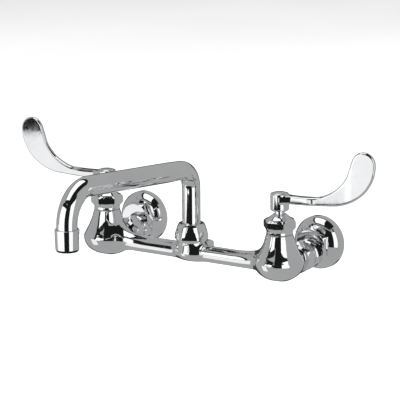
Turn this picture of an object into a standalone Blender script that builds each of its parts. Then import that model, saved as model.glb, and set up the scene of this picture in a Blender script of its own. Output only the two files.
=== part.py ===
"""Wall-mounted two-handle sink faucet with a swinging tubular spout and wrist-blade handles.

The body hangs in front of the wall on two eccentric inlet flanges.  The frame is:
  origin  on the wall plane, midway between the two inlets, at the height of the body's bar
  +X      to the right for the person at the sink (cold side)
  +Y      into the wall
  +Z      up
Sizes are millimetres, turned into metres by MM when a point is made.
"""
import math

import bmesh
import bpy
from mathutils import Matrix, Vector

MM = 0.001

# ---- driving dimensions (mm) ------------------------------------------------------------
INLET_CENTRES = 203.2            # the trade's 8 inch centres
VALVE_X = INLET_CENTRES / 2
VALVE_Y = -71.8                  # valve and spout axes, in front of the wall
SPOUT_REACH = 200.0
ECCENTRIC_X = 3.0                # wall end of a flange lies this far outboard of its nipple
ECCENTRIC_Z = 9.0                # and this far above it: a 3/8 inch eccentric
HANDLE_TURN = {"right": 8.0, "left": 186.2}      # closed blades, degrees from +X

GAP = 0.3                        # clearance between neighbouring solids
ROUND = 24                       # facets round a large turned piece
SMALL_ROUND = 16                 # facets round a small one
SHARP_ANGLE = 35                 # degrees; a steeper fold between faces stays a sharp edge

BAR_R = 8.0
BAR_BORE_R = 5.0
FLARE_LIFT = 2.2                 # the swelling's axis above the bar's
BELL_TOP_Z = 31.0
NECK_R = 11.0                    # male thread that the bonnet nut screws on
NECK_TOP_Z = 41.0
CHAMBER_R = 9.6
SEAT_Z = -6.0
SEAT_HOLE_R = 4.2
SEAT_HOLE_LOW_Z = -11.4          # bottom of the room under the seat
PASSAGE_R = 3.0                  # drilled passage from the supply bore to that room
PASSAGE_LENGTH = 19.0
PASSAGE_TILT = -66.0             # degrees from upright
INLET_BORE_R = 6.0

BOSS_R = 12.2                    # centre boss, also the male thread of the spout nut
BOSS_TOP_Z = 24.0
SOCKET_R = 10.8
SOCKET_FLOOR_Z = 7.5

PAD_LOW = (-13.5, 0, -6.5)       # block behind the boss, from the bar's axis
PAD_HIGH = (13.5, 21.5, 9.4)
PAD_ROUNDING = 3.2

ARM_R = 9.6                      # plain inlet arm behind each bell
ARM_END = 35.3                   # its end face, in front of the wall
RING_SLOT = (36.7, 38.9)         # groove of the inlet snap ring, in front of the wall
RING_SLOT_R = 8.4

TUBE_R = 9.0                     # spout tube at the riser
RUN_R = 9.7                      # and from there to the outlet
TUBE_WALL = 1.2
TUBE_FOOT_Z = 8.4
OUTLET_END_Z = 52.5

HUB_R = 8.9
HUB_LOW_Z = 53.5
HUB_TOP_Z = 70.5
STEM_R = 4.7


# ---- small helpers ----------------------------------------------------------------------
def clear_scene():
    for item in list(bpy.data.objects):
        bpy.data.objects.remove(item, do_unlink=True)


def finish(name, colour, metallic, roughness):
    """A Principled material."""
    material = bpy.data.materials.new(name)
    material.use_nodes = True
    shader = material.node_tree.nodes["Principled BSDF"]
    shader.inputs["Base Color"].default_value = (*colour, 1.0)
    shader.inputs["Metallic"].default_value = metallic
    shader.inputs["Roughness"].default_value = roughness
    material.diffuse_color = (*colour, 1.0)
    return material


def add_part(name, shape, look, at=(0, 0, 0), turn=0.0):
    """Put a bmesh into the scene as one named object, at a place in mm."""
    bmesh.ops.recalc_face_normals(shape, faces=shape.faces)
    mesh = bpy.data.meshes.new(name)
    shape.to_mesh(mesh)
    shape.free()
    mesh.shade_smooth()
    mesh.set_sharp_from_angle(angle=math.radians(SHARP_ANGLE))
    mesh.materials.append(look)
    part = bpy.data.objects.new(name, mesh)
    part.location = Vector(at) * MM
    part.rotation_euler.z = math.radians(turn)
    bpy.context.collection.objects.link(part)
    return part


# A turned shape is drawn along +Z, and this lays it along another axis.
ALONG = {
    "Z": Matrix.Identity(3),
    "X": Matrix.Rotation(math.radians(90), 3, "Y"),
    "-Y": Matrix.Rotation(math.radians(90), 3, "X"),
}


def turned_shape(outline, steps=ROUND, ring=False, along="Z"):
    """Spin (radius, height) points about the axis; ring closes the outline round a bore."""
    shape = bmesh.new()
    verts = [shape.verts.new((r * MM, 0, h * MM)) for r, h in outline]
    edges = [shape.edges.new(pair) for pair in zip(verts, verts[1:])]
    if ring:
        edges.append(shape.edges.new((verts[-1], verts[0])))
    bmesh.ops.spin(
        shape, geom=verts + edges, cent=(0, 0, 0), axis=(0, 0, 1),
        angle=math.tau, steps=steps, use_merge=True,
    )
    bmesh.ops.remove_doubles(shape, verts=shape.verts, dist=0.002 * MM)
    shape.transform(ALONG[along].to_4x4())
    return shape


def turned(name, outline, look, at=(0, 0, 0), **options):
    return add_part(name, turned_shape(outline, **options), look, at)


def hexagon_shape(across_flats, low, high, along="Z", turn=0.0):
    """A hexagonal prism; turn 0 puts a corner on the first axis."""
    shape = bmesh.new()
    bmesh.ops.create_cone(
        shape, cap_ends=True, segments=6, depth=(high - low) * MM,
        radius1=across_flats / math.sqrt(3) * MM, radius2=across_flats / math.sqrt(3) * MM,
        matrix=Matrix.Translation((0, 0, (low + high) / 2 * MM))
        @ Matrix.Rotation(math.radians(turn + 30), 4, "Z"),
    )
    shape.transform(ALONG[along].to_4x4())
    return shape


def box_shape(low, high):
    shape = bmesh.new()
    size = Vector(high) - Vector(low)
    middle = (Vector(high) + Vector(low)) / 2
    bmesh.ops.create_cube(
        shape, size=MM, matrix=Matrix.Translation(middle * MM) @ Matrix.Diagonal((*size, 1)))
    return shape


def combine(part, operation, tool):
    """Boolean with a tool object, which stays in the scene as a hidden guide."""
    tool.hide_render = True
    tool.display_type = "WIRE"
    step = part.modifiers.new(operation.title() + " " + tool.name, "BOOLEAN")
    step.operation = operation
    step.solver = "EXACT"
    step.object = tool
    return part


def join_all(part, tools):
    for tool in tools:
        combine(part, "UNION", tool)


def cut_all(part, tools):
    for tool in tools:
        combine(part, "DIFFERENCE", tool)


def o_ring(name, ring_r, cord_r, height, look, at):
    """A rubber ring with a round section."""
    corners = [math.tau * k / 6 for k in range(6)]
    outline = [(ring_r + cord_r * math.cos(c), height + cord_r * math.sin(c)) for c in corners]
    return turned(name, outline, look, at, ring=True, steps=SMALL_ROUND)


# ---- finishes ---------------------------------------------------------------------------
clear_scene()
chrome = finish("chrome", (0.78, 0.79, 0.80), 1.0, 0.08)
brass = finish("brass", (0.72, 0.56, 0.30), 1.0, 0.32)
steel = finish("stainless_steel", (0.62, 0.62, 0.62), 1.0, 0.25)
rubber = finish("rubber", (0.03, 0.03, 0.03), 0.0, 0.7)
ceramic = finish("ceramic", (0.88, 0.88, 0.86), 0.0, 0.25)
plastic = finish("white_plastic", (0.80, 0.80, 0.78), 0.0, 0.4)
button_face = finish("button_face", (0.30, 0.31, 0.32), 0.6, 0.25)

SIDES = {"left": -1, "right": 1}


# ---- valve body: bar, two bells, centre boss and inlet arms in one casting ---------------
BELL_OUTLINE = [
    (0, -14.7), (7, -14.2), (12.5, -12.6), (17.3, -9.6), (21.1, -4.8), (23.3, -0.4), (23.7, 3.4),
    (22.2, 7.4), (19.6, 12.4), (17.0, 18), (15.3, 22.4), (14.1, 26.8), (12.7, BELL_TOP_Z),
    (NECK_R, BELL_TOP_Z), (NECK_R, NECK_TOP_Z), (0, NECK_TOP_Z),
]


def build_valve_body():
    bar_end = VALVE_X - 6
    bar_outline = [(0, -bar_end), (BAR_R, -bar_end), (BAR_R, bar_end), (0, bar_end)]
    body = turned("valve_body", bar_outline, chrome, (0, VALVE_Y, 0), along="X")
    # Where the bar meets a bell it swells, more above than below.
    flare = [(0, 60), (5.6, 63), (7.2, 72), (9.0, 77), (11.6, 81.5), (14.6, 86), (14.6, 92), (0, 92)]
    boss_outline = [
        (0, -6), (12.6, -4.5), (15.2, 0), (13.6, 4), (BOSS_R, 7.2), (BOSS_R, BOSS_TOP_Z),
        (0, BOSS_TOP_Z),
    ]
    centre = (0, VALVE_Y, 0)
    pad = add_part("rear_pad_solid", box_shape(PAD_LOW, PAD_HIGH), chrome, centre)
    rounding = pad.modifiers.new("Rounding", "BEVEL")
    rounding.width = PAD_ROUNDING * MM
    rounding.segments = 2
    join_all(body, [turned("boss_solid", boss_outline, chrome, centre), pad])

    arm_front = -VALVE_Y
    arm_outline = [
        (0, arm_front - 4), (15.5, arm_front - 12), (14.2, 50.5), (11.2, 46.2), (ARM_R, 43.4),
        (ARM_R, RING_SLOT[1]), (RING_SLOT_R, RING_SLOT[1]), (RING_SLOT_R, RING_SLOT[0]),
        (ARM_R, RING_SLOT[0]), (ARM_R, ARM_END), (0, ARM_END),
    ]
    for side, sign in SIDES.items():
        valve = (sign * VALVE_X, VALVE_Y, 0)
        swell = [(r, sign * x) for r, x in flare]
        join_all(body, [
            turned(side + "_flare_solid", swell, chrome, (0, VALVE_Y, FLARE_LIFT), along="X"),
            turned(side + "_bell_solid", BELL_OUTLINE, chrome, valve),
            turned(side + "_arm_solid", arm_outline, chrome, (sign * VALVE_X, 0, 0), along="-Y"),
        ])

    # Waterways: spout socket, bar bore, and for each side the chamber, seat and supply.
    socket = [(0, -1), (BAR_BORE_R, -1), (BAR_BORE_R, SOCKET_FLOOR_Z), (SOCKET_R, SOCKET_FLOOR_Z),
              (SOCKET_R, BOSS_TOP_Z + 2), (0, BOSS_TOP_Z + 2)]
    bar_reach = VALVE_X - 4
    bar_bore = [(0, -bar_reach), (BAR_BORE_R, -bar_reach), (BAR_BORE_R, bar_reach), (0, bar_reach)]
    chamber = [
        (0, SEAT_HOLE_LOW_Z), (SEAT_HOLE_R, SEAT_HOLE_LOW_Z), (SEAT_HOLE_R, SEAT_Z),
        (CHAMBER_R, SEAT_Z),
        (CHAMBER_R, NECK_TOP_Z + 2), (0, NECK_TOP_Z + 2),
    ]
    waterways = turned("waterways_cutter", bar_bore, chrome, centre, along="X", steps=SMALL_ROUND)
    join_all(waterways, [turned("socket_cutter", socket, chrome, centre)])
    supply_end = arm_front - 14.0
    supply = [(0, ARM_END - 2), (INLET_BORE_R, ARM_END - 2), (INLET_BORE_R, supply_end),
              (0, supply_end)]
    passage = [(0, 0), (PASSAGE_R, 0), (PASSAGE_R, PASSAGE_LENGTH), (0, PASSAGE_LENGTH)]
    for side, sign in SIDES.items():
        valve = (sign * VALVE_X, VALVE_Y, 0)
        # The drilled passage slopes from the supply bore down to the room under the seat.
        slope = turned_shape(passage, steps=12)
        slope.transform(Matrix.Rotation(math.radians(PASSAGE_TILT), 4, "X"))
        join_all(waterways, [
            turned(side + "_chamber_cutter", chamber, chrome, valve),
            turned(side + "_supply_cutter", supply, chrome, (sign * VALVE_X, 0, 0),
                   along="-Y", steps=SMALL_ROUND),
            add_part(side + "_passage_cutter", slope, chrome,
                     (sign * VALVE_X, VALVE_Y + 0.5, -9.3)),
        ])
    combine(body, "DIFFERENCE", waterways)


# ---- inlet side: eccentric flange, washer, snap ring and coupling nut --------------------
FLANGE_OUTLINE = [
    (0, 0), (26.3, 0), (26.3, 4.2), (26.0, 6.4), (25.0, 8.8), (22.9, 11.2), (20.0, 13.1),
    (16.5, 14.4), (0, 14.4),
]
FLANGE_HEX = 32.0                # across flats
HEX_END = 20.5                   # front of the hexagon
PIPE_R = 10.2                    # socket for the supply nipple
PIPE_DEPTH = 15.0
ECCENTRIC_R = 14.0
NIPPLE_R = 12.0
NIPPLE_END = 33.0
FLANGE_HEX_TURN = {"left": 0.0, "right": 30.0}
NUT_TURN = {"left": 15.0, "right": 30.0}
NUT_HEX = 28.8                   # across flats
NUT_REAR = 29.6
NUT_FRONT = 41.6


def build_inlet(side, sign):
    wall_end = (sign * (VALVE_X + ECCENTRIC_X), 0, ECCENTRIC_Z)
    nipple_end = (sign * VALVE_X, 0, 0)
    flange = turned(side + "_inlet_flange", FLANGE_OUTLINE, chrome, wall_end, along="-Y")
    chamfered = [(0, 10), (18.6, 10), (18.6, 17.5), (15.6, HEX_END), (0, HEX_END)]
    hexagon = add_part(
        side + "_flange_hex_solid",
        hexagon_shape(FLANGE_HEX, 9, HEX_END + 2, "-Y", FLANGE_HEX_TURN[side]), chrome, wall_end)
    limit = turned(side + "_flange_hex_limit", chamfered, chrome, wall_end, along="-Y")
    combine(hexagon, "INTERSECT", limit)
    nipple_outline = [
        (0, 12), (ECCENTRIC_R, 12), (ECCENTRIC_R, 24), (12.9, 25.2), (NIPPLE_R, 25.2),
        (NIPPLE_R, NIPPLE_END), (0, NIPPLE_END),
    ]
    nipple = turned(side + "_nipple_solid", nipple_outline, chrome, nipple_end, along="-Y")
    join_all(flange, [hexagon, nipple])
    pipe = [(0, -2), (PIPE_R, -2), (PIPE_R, PIPE_DEPTH), (0, PIPE_DEPTH)]
    through = [(0, 12), (INLET_BORE_R, 12), (INLET_BORE_R, NIPPLE_END + 2), (0, NIPPLE_END + 2)]
    hollow = [(14, -2), (22.5, -2), (22.5, 3.4), (20, 6), (14, 6)]
    cut_all(flange, [
        turned(side + "_pipe_cutter", pipe, chrome, wall_end, along="-Y"),
        turned(side + "_through_cutter", through, chrome, nipple_end, along="-Y",
               steps=SMALL_ROUND),
        turned(side + "_hollow_cutter", hollow, chrome, wall_end, along="-Y", ring=True),
    ])

    washer = [(6.6, NIPPLE_END + GAP), (11.2, NIPPLE_END + GAP), (11.2, ARM_END - GAP),
              (6.6, ARM_END - GAP)]
    turned(side + "_inlet_washer", washer, rubber, nipple_end, along="-Y", ring=True,
           steps=SMALL_ROUND)
    low, high = RING_SLOT[0] + GAP, RING_SLOT[1] - GAP
    inner = RING_SLOT_R + GAP
    snap_ring = turned(side + "_inlet_snap_ring",
                       [(inner, low), (11.6, low), (11.6, high), (inner, high)],
                       steel, nipple_end, along="-Y", ring=True)
    split = add_part(side + "_snap_ring_split_cutter",
                     box_shape((-1.2, -RING_SLOT[1] - 1, -14), (1.2, -RING_SLOT[0] + 1, -5)),
                     steel, nipple_end)
    combine(snap_ring, "DIFFERENCE", split)

    lip_r = ARM_R + GAP
    bore_r = NIPPLE_R + GAP
    nut_outline = [
        (bore_r, NUT_REAR), (14.4, NUT_REAR), (16.4, 31.8), (16.4, 39.6), (14.0, NUT_FRONT),
        (lip_r, NUT_FRONT),
        (lip_r, RING_SLOT[1] + GAP), (bore_r, RING_SLOT[1] + GAP),
    ]
    nut = turned(side + "_coupling_nut", nut_outline, chrome, nipple_end, along="-Y", ring=True)
    flats = add_part(side + "_coupling_nut_flats",
                     hexagon_shape(NUT_HEX, 26, 45, "-Y", NUT_TURN[side]), chrome, nipple_end)
    combine(nut, "INTERSECT", flats)


# ---- valve: bonnet nut, ceramic cartridge, handle ----------------------------------------
BONNET_HEX = 28.0                # across flats
BONNET_TURN = {"left": 34.0, "right": 15.0}
BONNET_CORNER_R = BONNET_HEX / math.sqrt(3)
CARTRIDGE_R = 8.6
CARTRIDGE_BORE_R = STEM_R + GAP
CARTRIDGE_TOP_Z = 46.6
DISC_ROOM_R = 7.3
DISC_ROOM_TOP_Z = 6.4
FLANGE_BAND_R = 10.8             # cartridge flange that the bonnet nut clamps
PORT_OFFSET = 3.9                # disc ports, from the valve's axis
PORT_R = 2.1
PORT_ROUND = 10                  # facets round a port


def build_bonnet_nut(side, axis):
    thread_r = NECK_R + GAP
    outline = [
        (thread_r, BELL_TOP_Z + GAP), (12.8, BELL_TOP_Z + GAP), (12.6, 34.4), (15.7, 37.4),
        (BONNET_CORNER_R + 0.4, 38.4), (BONNET_CORNER_R + 0.4, 43.6), (13.6, 45.3), (11.7, 46.0),
        (5.8, 50.6), (CARTRIDGE_BORE_R, 50.6), (CARTRIDGE_BORE_R, 48.4), (7.5, 48.4),
        (7.5, 43.8), (thread_r, 43.8),
    ]
    nut = turned(side + "_bonnet_nut", outline, chrome, axis, ring=True)
    flats = add_part(side + "_bonnet_nut_flats",
                     hexagon_shape(BONNET_HEX, 30, 52, turn=BONNET_TURN[side]), chrome, axis)
    combine(nut, "INTERSECT", flats)


def build_cartridge(side, axis):
    """Quarter-turn ceramic cartridge: fixed parts first, then what turns with the stem."""
    band_low = NECK_TOP_Z + GAP
    outline = [
        (DISC_ROOM_R, -4.5), (CARTRIDGE_R, -4.5), (CARTRIDGE_R, band_low), (FLANGE_BAND_R, band_low),
        (FLANGE_BAND_R, 43.5), (7.2, 43.5), (7.2, CARTRIDGE_TOP_Z),
        (CARTRIDGE_BORE_R, CARTRIDGE_TOP_Z), (CARTRIDGE_BORE_R, DISC_ROOM_TOP_Z),
        (DISC_ROOM_R, DISC_ROOM_TOP_Z),
    ]
    housing = turned(side + "_cartridge_housing", outline, brass, axis, ring=True, steps=24)
    window = add_part(side + "_window_cutter", box_shape((-12, -3.2, 3.1), (12, 3.2, 5.9)),
                      brass, axis)
    combine(housing, "DIFFERENCE", window)
    turned(side + "_seat_seal",
           [(SEAT_HOLE_R + GAP, SEAT_Z + GAP), (7.0, SEAT_Z + GAP), (7.0, -2.9),
            (SEAT_HOLE_R + GAP, -2.9)],
           rubber, axis, ring=True, steps=SMALL_ROUND)
    build_disc(side + "_fixed_disc", 7.0, -2.6, -0.1, 0, axis)
    build_disc(side + "_turning_disc", 6.9, 0.2, 2.7, 90, axis)

    stem_outline = [
        (0, 3.0), (6.7, 3.0), (6.7, 6.0), (STEM_R, 6.0), (STEM_R, 36.2), (3.4, 36.2),
        (3.4, 38.4), (STEM_R, 38.4), (STEM_R, 46.9), (3.7, 46.9), (3.7, 48.1), (STEM_R, 48.1),
        (STEM_R, 63.2), (2.4, 63.2), (2.4, 55), (0, 54),
    ]
    turned(side + "_stem", stem_outline, brass, axis, steps=24)
    o_ring(side + "_stem_o_ring", 4.2, 0.55, 37.3, rubber, axis)
    clip = turned(side + "_stem_clip", [(4.0, 47.2), (6.8, 47.2), (6.8, 47.9), (4.0, 47.9)],
                  steel, axis, ring=True, steps=SMALL_ROUND)
    mouth = add_part(side + "_clip_mouth_cutter", box_shape((-1.5, 2, 46.5), (1.5, 9, 48.5)),
                     steel, axis)
    combine(clip, "DIFFERENCE", mouth)


def build_disc(name, radius, low, high, port_angle, axis):
    """A ceramic disc with two round ports; a quarter turn brings the two discs' ports in line."""
    disc = turned(name, [(0, low), (radius, low), (radius, high), (0, high)], ceramic, axis,
                  steps=SMALL_ROUND)
    for k in (0, 1):
        angle = math.radians(port_angle + 180 * k)
        port = (axis[0] + PORT_OFFSET * math.cos(angle), axis[1] + PORT_OFFSET * math.sin(angle), 0)
        combine(disc, "DIFFERENCE", turned(
            name + "_port_cutter_%d" % k,
            [(0, low - 1), (PORT_R, low - 1), (PORT_R, high + 1), (0, high + 1)],
            ceramic, port, steps=PORT_ROUND))


# Stations along the blade: (distance from the hub's axis, height) of both edges, and thickness.
# The first two are the web, which narrows from the hub's width to the arm's.
BLADE_TIP = (85.4, 105.1)
BLADE_TIP_R = 12.2
BLADE_TOP = [
    (3.5, 68.6), (13.1, 68.7), (30, 69.0), (42, 70.6), (54, 76.4), (62, 83.0), (68.4, 92.0),
    (71.6, 101.6),
]
BLADE_LOW = [
    (3.5, 61.9), (13.1, 61.9), (33, 62.0), (48, 62.4), (62, 63.6), (76, 69.2), (88.2, 79.6),
    (95.9, 93.6),
]
BLADE_THICK = [16.1, 9.4, 9.4, 6.4, 4.8, 4.5, 4.5, 4.5]
TIP_STEPS = 4


def blade_shape():
    """Rectangular sections from the hub to the tip, whose end follows a circle."""
    stations = list(zip(BLADE_TOP, BLADE_LOW, BLADE_THICK))
    top_angle = math.atan2(BLADE_TOP[-1][1] - BLADE_TIP[1], BLADE_TOP[-1][0] - BLADE_TIP[0])
    low_angle = math.atan2(BLADE_LOW[-1][1] - BLADE_TIP[1], BLADE_LOW[-1][0] - BLADE_TIP[0])
    top_angle += math.tau
    for k in range(1, TIP_STEPS):
        share = 0.5 * k / TIP_STEPS
        pair = []
        for angle in (top_angle + share * (low_angle - top_angle),
                      low_angle + share * (top_angle - low_angle)):
            pair.append((BLADE_TIP[0] + BLADE_TIP_R * math.cos(angle),
                         BLADE_TIP[1] + BLADE_TIP_R * math.sin(angle)))
        stations.append((*pair, BLADE_THICK[-1]))
    shape = bmesh.new()
    rings = []
    for top, low, thick in stations:
        half = thick / 2
        corners = [(*low[:1], -half, low[1]), (*low[:1], half, low[1]),
                   (*top[:1], half, top[1]), (*top[:1], -half, top[1])]
        rings.append([shape.verts.new(Vector(corner) * MM) for corner in corners])
    for near, far in zip(rings, rings[1:]):
        for k in range(4):
            shape.faces.new((near[k], near[k - 1], far[k - 1], far[k]))
    shape.faces.new(rings[0])
    shape.faces.new(reversed(rings[-1]))
    return shape


def build_handle(side, axis):
    hub_outline = [
        (0, HUB_LOW_Z), (HUB_R - 1.6, HUB_LOW_Z), (HUB_R, HUB_LOW_Z + 1.8), (HUB_R, HUB_TOP_Z - 0.8),
        (HUB_R - 0.7, HUB_TOP_Z), (0, HUB_TOP_Z),
    ]
    handle = turned(side + "_handle", hub_outline, chrome, axis, steps=ROUND)
    blade = add_part(side + "_blade_solid", blade_shape(), chrome, axis, HANDLE_TURN[side])
    combine(handle, "UNION", blade)
    hollow = [
        (0, HUB_LOW_Z - 1), (STEM_R + GAP, HUB_LOW_Z - 1), (STEM_R + GAP, 63.6), (2.5, 63.6),
        (2.5, 66.4), (5.4, 66.4), (5.4, 69.3), (7.6, 69.3), (7.6, HUB_TOP_Z + 1),
        (0, HUB_TOP_Z + 1),
    ]
    combine(handle, "DIFFERENCE", turned(side + "_hub_cutter", hollow, chrome, axis, steps=24))

    screw_outline = [(0, 56.5), (2.1, 56.9), (2.1, 66.7), (4.4, 66.7), (4.4, 68.2), (3.4, 68.9),
                     (0, 69.0)]
    screw = turned(side + "_handle_screw", screw_outline, steel, axis, steps=16)
    slot = add_part(side + "_screw_slot_cutter", box_shape((-6, -0.6, 68.0), (6, 0.6, 70)),
                    steel, axis)
    combine(screw, "DIFFERENCE", slot)
    button_outline = [(0, 69.6), (7.3, 69.6), (7.3, 70.7), (6.4, 71.2), (3.4, 71.6), (0, 71.8)]
    turned(side + "_index_button", button_outline, button_face, axis, steps=24)


# ---- spout: tube, swivel sleeve, seals, nut and aerator ----------------------------------
RISE_Z = 82.8                    # where the centre lines of riser and run would cross
OUTLET_TOP_Z = 99.2              # and those of run and outlet
FIRST_BEND_R = 20.0
SECOND_BEND_R = 31.0
SWAGE_LENGTH = 45.0              # the tube grows from its riser size to full size over this reach
SPOUT_NUT_HEX = 29.2             # across flats
SPRAY_CIRCLE_R = 5.6             # six spray holes on this circle and one in the middle
SPRAY_HOLE_R = 2.1


def spout_centre_line():
    """(forward, height) points: riser, bend, gently climbing run, bend, outlet."""
    climb = math.atan2(OUTLET_TOP_Z - RISE_Z, SPOUT_REACH)
    points = [(0, TUBE_FOOT_Z)]
    bends = (
        ((0, RISE_Z), math.pi / 2, climb, FIRST_BEND_R, 5),
        ((SPOUT_REACH, OUTLET_TOP_Z), climb, -math.pi / 2, SECOND_BEND_R, 6),
    )
    for corner, start, end, radius, steps in bends:
        # The arc touches both runs, which meet at the corner.
        reach = radius * math.tan(abs(end - start) / 2)
        begin = Vector(corner) - Vector((math.cos(start), math.sin(start))) * reach
        side = 1 if end > start else -1
        centre = begin + Vector((-math.sin(start), math.cos(start))) * radius * side
        if points[-1][0] < SWAGE_LENGTH < begin[0]:
            points.append(tuple(Vector(points[-1]).lerp(begin, SWAGE_LENGTH / begin[0])))
        for k in range(steps + 1):
            heading = start + (end - start) * k / steps
            points.append(tuple(centre + Vector((math.sin(heading), -math.cos(heading)))
                                * radius * side))
    points.append((SPOUT_REACH, OUTLET_END_Z))
    return points


def tube_shape(line, wall, steps):
    """Sweep a ring section along a line in the plane of forward (-Y) and up."""
    shape = bmesh.new()
    places = [Vector((0, -forward, height)) for forward, height in line]
    walls = ([], [])
    for k, place in enumerate(places):
        ahead = places[min(k + 1, len(places) - 1)] - places[max(k - 1, 0)]
        across = Vector((1, 0, 0))
        over = ahead.normalized().cross(across)
        grown = TUBE_R + (RUN_R - TUBE_R) * min(1.0, line[k][0] / SWAGE_LENGTH)
        for rings, radius in zip(walls, (grown, grown - wall)):
            rings.append([
                shape.verts.new((place + radius * (across * math.cos(math.tau * s / steps)
                                                   + over * math.sin(math.tau * s / steps))) * MM)
                for s in range(steps)])
    for rings in walls:
        for near, far in zip(rings, rings[1:]):
            for s in range(steps):
                shape.faces.new((near[s - 1], near[s], far[s], far[s - 1]))
    for end in (0, -1):
        for s in range(steps):
            shape.faces.new((walls[0][end][s - 1], walls[0][end][s],
                             walls[1][end][s], walls[1][end][s - 1]))
    return shape


def build_spout():
    axis = (0, VALVE_Y, 0)
    add_part("spout_tube",
             tube_shape(spout_centre_line(), TUBE_WALL, 24), chrome, axis)
    inner = TUBE_R + GAP
    outer = SOCKET_R - GAP
    groove = outer - 1.0
    sleeve_outline = [
        (inner, 8.2), (outer, 8.2), (outer, 11.0), (groove, 11.0), (groove, 12.8), (outer, 12.8),
        (outer, 16.2), (groove, 16.2), (groove, 18.0), (outer, 18.0), (outer, 23.9), (inner, 23.9),
    ]
    turned("swivel_sleeve", sleeve_outline, brass, axis, ring=True, steps=24)
    for label, height in (("lower", 11.9), ("upper", 17.1)):
        o_ring("spout_o_ring_" + label, groove + 0.68, 0.42, height, rubber, axis)
    washer_low = BOSS_TOP_Z + GAP
    turned("thrust_washer",
           [(inner, washer_low), (12.0, washer_low), (12.0, 25.4), (inner, 25.4)],
           plastic, axis, ring=True, steps=24)
    thread_r = BOSS_R + GAP
    nut_outline = [
        (thread_r, 11.0), (14.6, 11.0), (16.8, 14.0), (16.4, 17.5), (15.2, 22.0), (13.7, 26.5),
        (12.4, 28.9), (inner + 0.1, 28.9), (inner + 0.1, 25.7), (thread_r, 25.7),
    ]
    nut = turned("spout_nut", nut_outline, chrome, axis, ring=True)
    flats = add_part("spout_nut_flats", hexagon_shape(SPOUT_NUT_HEX, 10, 30, turn=29.0), chrome, axis)
    combine(nut, "INTERSECT", flats)

    outlet = (0, VALVE_Y - SPOUT_REACH, 0)
    shell_outline = [
        (RUN_R + GAP, 63.0), (11.4, 63.0), (11.4, 62.0), (10.9, 43.8), (10.0, 42.5), (8.6, 42.5),
        (8.6, 44.0), (RUN_R + GAP, 44.0),
    ]
    turned("aerator_shell", shell_outline, chrome, outlet, ring=True)
    insert = turned("aerator_insert", [(0, 44.3), (9.6, 44.3), (9.6, 50.0), (0, 50.0)], plastic,
                    outlet, steps=24)
    holes = [(0.0, 0.0)]
    for k in range(6):
        angle = math.tau * k / 6
        holes.append((SPRAY_CIRCLE_R * math.cos(angle), SPRAY_CIRCLE_R * math.sin(angle)))
    for k, (x, y) in enumerate(holes):
        place = (outlet[0] + x, outlet[1] + y, 0)
        combine(insert, "DIFFERENCE", turned(
            "aerator_hole_cutter_%d" % k,
            [(0, 43), (SPRAY_HOLE_R, 43), (SPRAY_HOLE_R, 51), (0, 51)],
            plastic, place, steps=8))
    turned("aerator_washer", [(7.0, 50.3), (9.6, 50.3), (9.6, 52.2), (7.0, 52.2)], rubber, outlet,
           ring=True, steps=SMALL_ROUND)


build_valve_body()
for side_name, side_sign in SIDES.items():
    valve_axis = (side_sign * VALVE_X, VALVE_Y, 0)
    build_inlet(side_name, side_sign)
    build_bonnet_nut(side_name, valve_axis)
    build_cartridge(side_name, valve_axis)
    build_handle(side_name, valve_axis)
build_spout()
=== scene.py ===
"""Finished look of the wall-mounted sink faucet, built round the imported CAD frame.

Every visible piece is rebuilt here with rounded edges and cast fillets, in the place where the
CAD has it.  Sizes are millimetres, turned into metres by MM when a mesh is made.
"""
import itertools
import math

import bmesh
import bpy
import numpy as np
from mathutils import Matrix, Vector


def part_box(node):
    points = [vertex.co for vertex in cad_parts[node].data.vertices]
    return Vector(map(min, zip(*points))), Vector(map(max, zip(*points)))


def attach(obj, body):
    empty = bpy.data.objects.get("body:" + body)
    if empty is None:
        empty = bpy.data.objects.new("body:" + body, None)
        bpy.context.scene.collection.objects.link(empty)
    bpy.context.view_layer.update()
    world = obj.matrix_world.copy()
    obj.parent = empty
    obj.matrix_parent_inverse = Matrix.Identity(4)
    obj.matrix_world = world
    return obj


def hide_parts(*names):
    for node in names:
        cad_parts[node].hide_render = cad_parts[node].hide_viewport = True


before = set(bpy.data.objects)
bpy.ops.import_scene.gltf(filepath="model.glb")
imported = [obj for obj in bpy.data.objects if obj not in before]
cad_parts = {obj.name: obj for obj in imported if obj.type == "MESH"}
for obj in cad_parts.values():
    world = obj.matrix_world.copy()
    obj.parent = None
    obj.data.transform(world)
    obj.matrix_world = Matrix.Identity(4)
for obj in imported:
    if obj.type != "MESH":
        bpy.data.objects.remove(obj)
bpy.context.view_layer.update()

MM = 0.001
SIDES = {"left": -1, "right": 1}
CLOSED_BLADE = {"left": 186.2, "right": 8.0}     # degrees from +X


# ---- places, read from the CAD -----------------------------------------------------------
def cad_box(node):
    low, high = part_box(node)
    return np.array(low) / MM, np.array(high) / MM


def cad_middle(node):
    low, high = cad_box(node)
    return (low + high) / 2


VALVE_X = cad_middle("right_stem")[0]
VALVE_Y = cad_middle("right_stem")[1]
BODY_LOW, BODY_HIGH = cad_box("valve_body")
ARM_END = -BODY_HIGH[1]
NECK_TOP = BODY_HIGH[2]
OUTLET_Y = cad_middle("aerator_insert")[1]
REACH = VALVE_Y - OUTLET_Y
HUB_LOW = cad_box("right_handle")[0][2]
BUTTON_TOP = cad_box("right_index_button")[1][2]
HUB_TOP = BUTTON_TOP - 1.3
FLANGE_CENTRE = {side: cad_middle(side + "_inlet_flange") for side in SIDES}


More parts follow.
